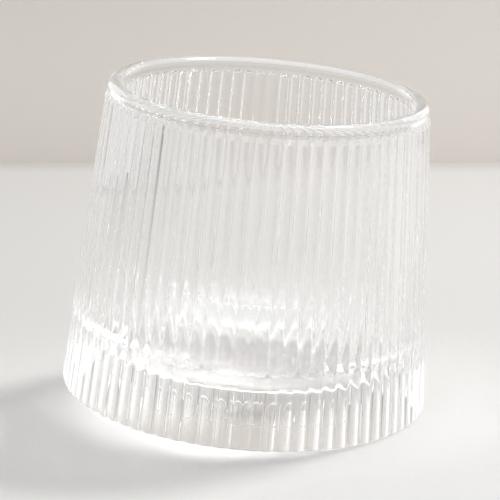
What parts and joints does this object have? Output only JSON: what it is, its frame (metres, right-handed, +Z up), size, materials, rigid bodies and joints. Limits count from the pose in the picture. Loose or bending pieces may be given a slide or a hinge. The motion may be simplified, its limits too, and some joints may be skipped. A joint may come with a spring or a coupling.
{
  "type": "rocks glass",
  "caption": "Clear ribbed rocks glass with a rounded lip and a thick solid base. It leans on a shallow cone foot and holds a short drink.",
  "frame": {"origin": "centre of the bottom of the leaning glass's box, on the table that it stands on", "axes": "+Z up from the table; -Y faces the picture's camera and +X is to the picture's right. The glass's own axis leans 5.5 degrees from +Z, to the right and towards the camera"},
  "size_m": [0.095, 0.0952, 0.088],
  "materials": {
    "clear_glass": "clear pressed glass, fire-polished lip"
  },
  "bodies": {
    "root": {"lip_bead": "clear_glass", "plain_collar": "clear_glass", "wall": "clear_glass", "ribs": "clear_glass", "sham_base": "clear_glass", "rocker_foot": "clear_glass"}
  },
  "joints": []
}
